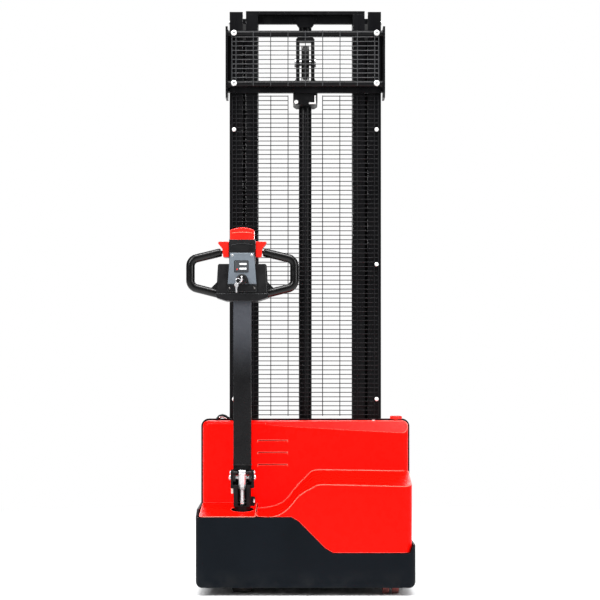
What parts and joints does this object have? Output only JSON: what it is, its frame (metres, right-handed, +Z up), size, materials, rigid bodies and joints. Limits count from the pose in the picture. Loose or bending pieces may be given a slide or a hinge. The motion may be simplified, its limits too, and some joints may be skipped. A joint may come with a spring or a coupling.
{
  "type": "walkie stacker",
  "caption": "Pedestrian-operated fork-over stacker with a two-stage mast, mesh guard, tiller with loop handles and a chassis in a shaped cover over a steel skirt.",
  "frame": {"origin": "Middle of the bounding box in plan, at floor level under the wheels.", "axes": "+Z up, +Y forward from the operator towards the fork tips, +X to the operator's right across the truck."},
  "size_m": [0.843, 1.694, 2.208],
  "materials": {
    "skirt_black": "satin",
    "red_paint": "gloss",
    "frame_black": "satin",
    "mast_black": "satin",
    "wire_grey": "satin",
    "bright_steel": "polished",
    "dark_steel": "oiled",
    "cast_black": "painted",
    "black_plastic": "moulded",
    "grey_plastic": "moulded",
    "red_plastic": "moulded",
    "black_rubber": "moulded",
    "tyre_rubber": "worn",
    "maroon_rubber": "worn",
    "amber_rubber": "worn",
    "battery_plastic": "moulded",
    "tank_plastic": "translucent white",
    "cast_aluminium": "machined",
    "guide_plastic": "machined"
  },
  "bodies": {
    "truck": {"bumper_skirt": "skirt_black", "rear_cover": "red_paint", "footwell_cover": "red_paint", "backing_plate": "frame_black", "chassis_floor": "frame_black", "outer_mast_channels": "mast_black", "outer_mast_crossbeam": "mast_black", "mast_base_beam": "mast_black", "mast_guide_pads": "guide_plastic", "support_legs": "frame_black", "guard_frame": "mast_black", "guard_mesh": "wire_grey", "lower_mesh": "wire_grey", "steel_fasteners": "bright_steel", "cylinder_tube": "mast_black", "cylinder_head": "cast_black", "batteries": "battery_plastic", "hydraulic_tank": "tank_plastic", "pump_motor": "cast_black", "valve_block": "cast_aluminium", "motor_controller": "cast_aluminium", "lift_pipe": "bright_steel", "slewing_ring": "dark_steel", "chain_rear_strand": "dark_steel"},
    "inner_mast": {"inner_mast_channels": "mast_black", "inner_top_beam": "mast_black", "inner_bottom_beam": "mast_black", "piston_rod": "bright_steel", "chain_wheel_yoke": "cast_black", "chain_wheel_axle": "bright_steel", "chain_wrap": "dark_steel", "chain_front_strand": "dark_steel"},
    "chain_wheel": {"chain_wheel": "cast_black"},
    "mast_rollers": {"mast_rollers": "dark_steel"},
    "carriage": {"carriage_side_plates": "frame_black", "carriage_bars": "frame_black", "fork_left": "frame_black", "fork_right": "frame_black"},
    "carriage_rollers_lower": {"carriage_rollers_lower": "dark_steel"},
    "carriage_rollers_upper": {"carriage_rollers_upper": "dark_steel"},
    "steer": {"drive_bracket": "cast_black", "traction_motor": "cast_black", "tiller_bracket": "cast_black", "tiller_pivot_pin": "bright_steel", "gas_spring_rod": "bright_steel"},
    "drive_wheel": {"drive_tyre": "tyre_rubber", "drive_hub": "cast_aluminium"},
    "gas_spring": {"gas_spring_tube": "bright_steel"},
    "tiller": {"tiller_arm": "frame_black", "tiller_head": "black_plastic", "tiller_panel": "grey_plastic", "handle_loops": "black_rubber"},
    "throttle": {"throttle_paddles": "red_plastic"},
    "belly_button": {"belly_button": "red_plastic"},
    "ignition_key": {"ignition_key": "bright_steel"},
    "emergency_stop": {"emergency_stop": "red_plastic"},
    "caster": {"caster_fork": "dark_steel"},
    "caster_wheel": {"caster_wheels": "maroon_rubber"},
    "load_roller_left": {"load_roller_left": "amber_rubber"},
    "load_roller_right": {"load_roller_right": "amber_rubber"}
  },
  "joints": [
    {"name": "mast_lift", "type": "slide", "parent": "truck", "child": "inner_mast", "axis": [0, 0, 1], "range_m": [0, 1.45], "deforming": ["chain_rear_strand"]},
    {"name": "carriage_lift", "type": "slide", "parent": "inner_mast", "child": "carriage", "axis": [0, 0, 1], "range_m": [0, 1.45], "deforming": ["chain_front_strand"]},
    {"name": "chain_wheel_turn", "type": "hinge", "parent": "inner_mast", "child": "chain_wheel", "pos_m": [0.0215, -0.417, 2.022], "axis": [1, 0, 0], "range_deg": [0, 1340]},
    {"name": "mast_roller_turn", "type": "hinge", "parent": "inner_mast", "child": "mast_rollers", "pos_m": [0.0215, -0.427, 0.13], "axis": [-1, 0, 0], "range_deg": [0, 1710]},
    {"name": "lower_roller_turn", "type": "hinge", "parent": "carriage", "child": "carriage_rollers_lower", "pos_m": [0.0215, -0.427, 0.15], "axis": [-1, 0, 0], "range_deg": [0, 1710]},
    {"name": "upper_roller_turn", "type": "hinge", "parent": "carriage", "child": "carriage_rollers_upper", "pos_m": [0.0215, -0.427, 0.44], "axis": [-1, 0, 0], "range_deg": [0, 1710]},
    {"name": "steer_turn", "type": "hinge", "parent": "truck", "child": "steer", "pos_m": [-0.2125, -0.719, 0.256], "axis": [0, 0, 1], "range_deg": [-90, 90]},
    {"name": "drive_wheel_spin", "type": "hinge", "parent": "steer", "child": "drive_wheel", "pos_m": [-0.2125, -0.719, 0.105], "axis": [1, 0, 0], "continuous": true},
    {"name": "tiller_tilt", "type": "hinge", "parent": "steer", "child": "tiller", "pos_m": [-0.2125, -0.709, 0.422], "axis": [1, 0, 0], "range_deg": [0, 80], "stiffness_Nm_per_rad": 30, "springref_deg": -28.65},
    {"name": "gas_spring_slide", "type": "slide", "parent": "steer", "child": "gas_spring", "axis": [0, 0, -1], "range_m": [0, 0.03857]},
    {"name": "throttle_turn", "type": "hinge", "parent": "tiller", "child": "throttle", "pos_m": [-0.2125, -0.709, 1.258], "axis": [1, 0, 0], "range_deg": [-25, 25], "stiffness_Nm_per_rad": 0.6},
    {"name": "belly_button_press", "type": "slide", "parent": "tiller", "child": "belly_button", "axis": [0, 0, -1], "range_m": [0, 0.006], "stiffness_N_per_m": 1000, "springref_m": -0.006},
    {"name": "key_turn", "type": "hinge", "parent": "tiller", "child": "ignition_key", "pos_m": [-0.2125, -0.769, 1.153], "axis": [0, 1, 0], "range_deg": [0, 90]},
    {"name": "emergency_stop_press", "type": "slide", "parent": "truck", "child": "emergency_stop", "axis": [0, 0, -1], "range_m": [0, 0.004], "stiffness_N_per_m": 500, "springref_m": -0.004},
    {"name": "caster_swivel", "type": "hinge", "parent": "truck", "child": "caster", "pos_m": [0.3325, -0.743, 0.168], "axis": [0, 0, 1], "continuous": true},
    {"name": "caster_wheel_spin", "type": "hinge", "parent": "caster", "child": "caster_wheel", "pos_m": [0.3325, -0.765, 0.05], "axis": [1, 0, 0], "continuous": true},
    {"name": "load_roller_left_spin", "type": "hinge", "parent": "truck", "child": "load_roller_left", "pos_m": [-0.1785, 0.737, 0.04], "axis": [1, 0, 0], "continuous": true},
    {"name": "load_roller_right_spin", "type": "hinge", "parent": "truck", "child": "load_roller_right", "pos_m": [0.2215, 0.737, 0.04], "axis": [1, 0, 0], "continuous": true}
  ],
  "couplings": [
    {"joint": "carriage_lift", "follows": "mast_lift", "ratio": 1},
    {"joint": "chain_wheel_turn", "follows": "mast_lift", "rad_per_m": 16.129},
    {"joint": "mast_roller_turn", "follows": "mast_lift", "rad_per_m": 20.534},
    {"joint": "lower_roller_turn", "follows": "mast_lift", "rad_per_m": 20.534},
    {"joint": "upper_roller_turn", "follows": "mast_lift", "rad_per_m": 20.534},
    {"joint": "gas_spring_slide", "follows": "tiller_tilt", "m_per_rad": 0.027622}
  ]
}
